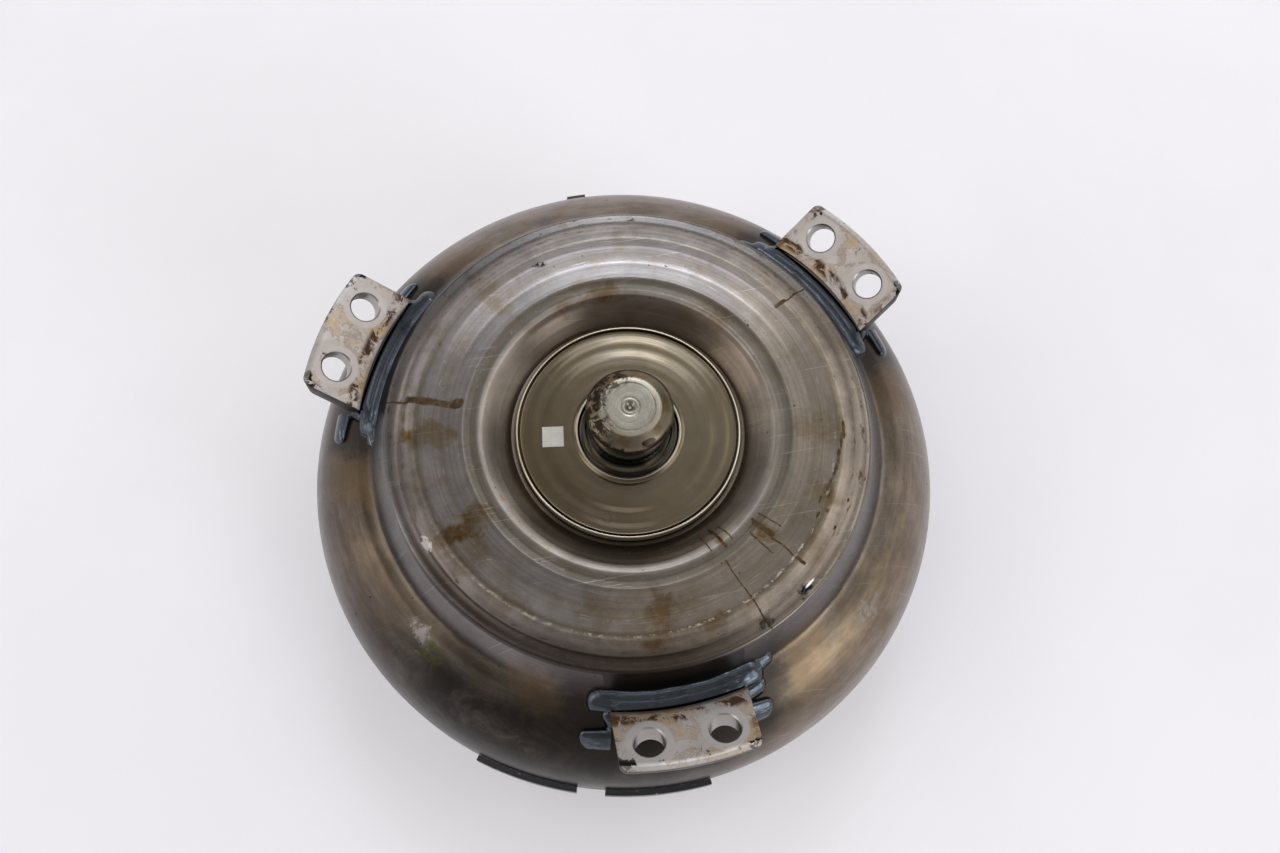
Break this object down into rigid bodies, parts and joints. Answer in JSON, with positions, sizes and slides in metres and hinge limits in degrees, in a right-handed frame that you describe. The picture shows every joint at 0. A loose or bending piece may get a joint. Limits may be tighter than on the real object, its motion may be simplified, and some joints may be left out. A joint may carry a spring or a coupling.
{
  "type": "torque converter",
  "caption": "Lock-up torque converter: welded steel casing with pilot stub and inclined bolt lugs, slotted pump neck, and impeller, turbine, stator, piston and damper inside.",
  "frame": {"origin": "on the shaft axis, at the end face of the pump-drive neck", "axes": "+Z along the shaft axis towards the pilot stub; the first drive lug points along -Y"},
  "size_m": [0.254, 0.259, 0.1448],
  "materials": {
    "pressed_steel": "pressed steel with turning marks and brown oxide",
    "turned_steel": "turned steel, dulled",
    "plate_steel": "cut steel plate, slightly rusty",
    "weld_metal": "blue-grey weld metal",
    "black_strip": "blackened steel strip",
    "sheet_steel": "pressed sheet steel, oily",
    "bearing_steel": "ground hardened steel",
    "cast_aluminium": "as-cast aluminium",
    "spring_steel": "oil-tempered spring wire",
    "friction_paper": "paper friction lining",
    "seal_rubber": "black rubber"
  },
  "bodies": {
    "casing": {"front_cover": "pressed_steel", "centre_disc": "turned_steel", "pilot_stub": "turned_steel", "drive_lug_1": "plate_steel", "drive_lug_2": "plate_steel", "drive_lug_3": "plate_steel", "lug_weld_1": "weld_metal", "lug_weld_2": "weld_metal", "lug_weld_3": "weld_metal", "lug_1_side_weld_left": "weld_metal", "lug_1_side_weld_right": "weld_metal", "lug_2_side_weld_left": "weld_metal", "lug_2_side_weld_right": "weld_metal", "lug_3_side_weld_left": "weld_metal", "lug_3_side_weld_right": "weld_metal", "balance_weight_1": "black_strip", "balance_weight_2": "black_strip", "balance_weight_3": "black_strip", "casing_weld": "weld_metal", "impeller_shell": "pressed_steel", "impeller_blades": "sheet_steel", "impeller_hub": "turned_steel", "hub_weld": "weld_metal"},
    "turbine": {"turbine_shell": "sheet_steel", "turbine_blades": "sheet_steel", "turbine_hub": "turned_steel", "piston_seal": "seal_rubber", "damper_driven_plate": "sheet_steel"},
    "damper_drive": {"damper_front_plate": "sheet_steel", "damper_rear_plate": "sheet_steel", "damper_rivet_1": "bearing_steel", "damper_rivet_2": "bearing_steel", "damper_rivet_3": "bearing_steel", "damper_rivet_4": "bearing_steel", "damper_spring_1": "spring_steel", "damper_spring_2": "spring_steel", "damper_spring_3": "spring_steel", "damper_spring_4": "spring_steel"},
    "lockup_piston": {"lockup_piston": "sheet_steel", "friction_lining": "friction_paper"},
    "stator_race": {"stator_inner_race": "bearing_steel"},
    "stator": {"stator_wheel": "cast_aluminium", "clutch_outer_race": "bearing_steel", "clutch_roller_1": "bearing_steel", "clutch_roller_2": "bearing_steel", "clutch_roller_3": "bearing_steel", "clutch_roller_4": "bearing_steel", "clutch_roller_5": "bearing_steel", "clutch_roller_6": "bearing_steel", "stator_front_washer": "sheet_steel", "stator_rear_washer": "sheet_steel"},
    "front_bearing": {"front_thrust_bearing": "bearing_steel"},
    "middle_bearing": {"middle_thrust_bearing": "bearing_steel"},
    "rear_bearing": {"rear_thrust_bearing": "bearing_steel"}
  },
  "joints": [
    {"name": "turbine_spin", "type": "hinge", "parent": "casing", "child": "turbine", "pos_m": [0, 0, 0.0798], "axis": [0, 0, 1], "continuous": true},
    {"name": "damper_twist", "type": "hinge", "parent": "turbine", "child": "damper_drive", "pos_m": [0, 0, 0.1048], "axis": [0, 0, 1], "range_deg": [-8, 8], "stiffness_Nm_per_rad": 900, "deforming": ["damper_spring_1", "damper_spring_2", "damper_spring_3", "damper_spring_4"]},
    {"name": "lockup_apply", "type": "slide", "parent": "damper_drive", "child": "lockup_piston", "axis": [0, 0, 1], "range_m": [0, 0.0015]},
    {"name": "stator_race_spin", "type": "hinge", "parent": "casing", "child": "stator_race", "pos_m": [0, 0, 0.0558], "axis": [0, 0, 1], "continuous": true},
    {"name": "stator_freewheel", "type": "hinge", "parent": "stator_race", "child": "stator", "pos_m": [0, 0, 0.0658], "axis": [0, 0, 1], "range_deg": [0, 360]},
    {"name": "front_bearing_spin", "type": "hinge", "parent": "casing", "child": "front_bearing", "pos_m": [0, 0, 0.1046], "axis": [0, 0, 1], "continuous": true},
    {"name": "middle_bearing_spin", "type": "hinge", "parent": "casing", "child": "middle_bearing", "pos_m": [0, 0, 0.0761], "axis": [0, 0, 1], "continuous": true},
    {"name": "rear_bearing_spin", "type": "hinge", "parent": "casing", "child": "rear_bearing", "pos_m": [0, 0, 0.0521], "axis": [0, 0, 1], "continuous": true}
  ],
  "couplings": [
    {"joint": "front_bearing_spin", "follows": "turbine_spin", "ratio": 0.5},
    {"joint": "middle_bearing_spin", "follows": "turbine_spin", "ratio": 0.5},
    {"joint": "rear_bearing_spin", "follows": "stator_race_spin", "ratio": 0.5}
  ]
}
